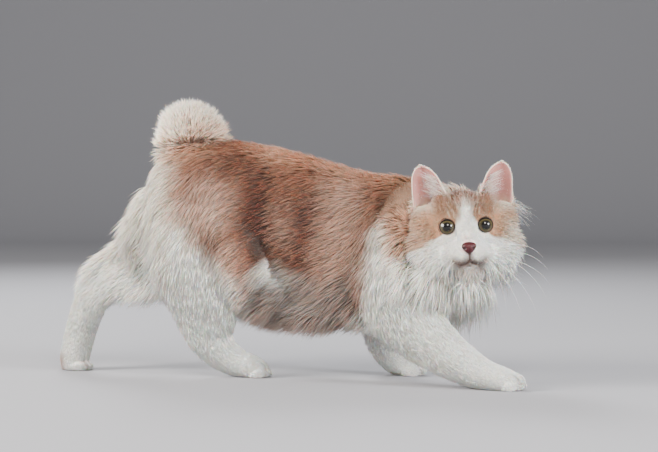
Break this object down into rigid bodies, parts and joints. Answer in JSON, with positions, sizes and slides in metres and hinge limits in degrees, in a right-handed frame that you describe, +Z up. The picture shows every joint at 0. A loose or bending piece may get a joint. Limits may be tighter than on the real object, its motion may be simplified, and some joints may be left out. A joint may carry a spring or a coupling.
{
  "type": "kurilian bobtail cat",
  "caption": "Still figure of a kurilian bobtail cat in a long walking stride, its head turned to its right, with a semi-long coat and a short pompom tail.",
  "frame": {"origin": "on the floor, under the middle of the bounding box", "axes": "+X the way the cat walks, +Y to its left, +Z up"},
  "size_m": [0.6326, 0.218, 0.3586],
  "materials": {
    "coat_red": "soft semi-long fur, red with cream",
    "coat_cream": "soft semi-long fur, cream",
    "coat_white": "soft semi-long fur, white",
    "nose": "bare pink nose leather",
    "eye": "wet and glossy, olive brown"
  },
  "bodies": {
    "root": {"torso": "coat_red", "neck": "coat_cream", "head": "coat_cream", "ear_left": "coat_cream", "ear_right": "coat_cream", "tail": "coat_cream", "fore_right_upper": "coat_white", "fore_right_lower": "coat_white", "fore_right_paw": "coat_white", "fore_left_upper": "coat_white", "fore_left_lower": "coat_white", "fore_left_paw": "coat_white", "hind_right_thigh": "coat_white", "hind_right_shank": "coat_white", "hind_right_paw": "coat_white", "hind_left_thigh": "coat_white", "hind_left_shank": "coat_white", "hind_left_foot": "coat_white", "hind_left_paw": "coat_white", "eye_left": "eye", "eye_right": "eye", "nose": "nose"}
  },
  "joints": []
}
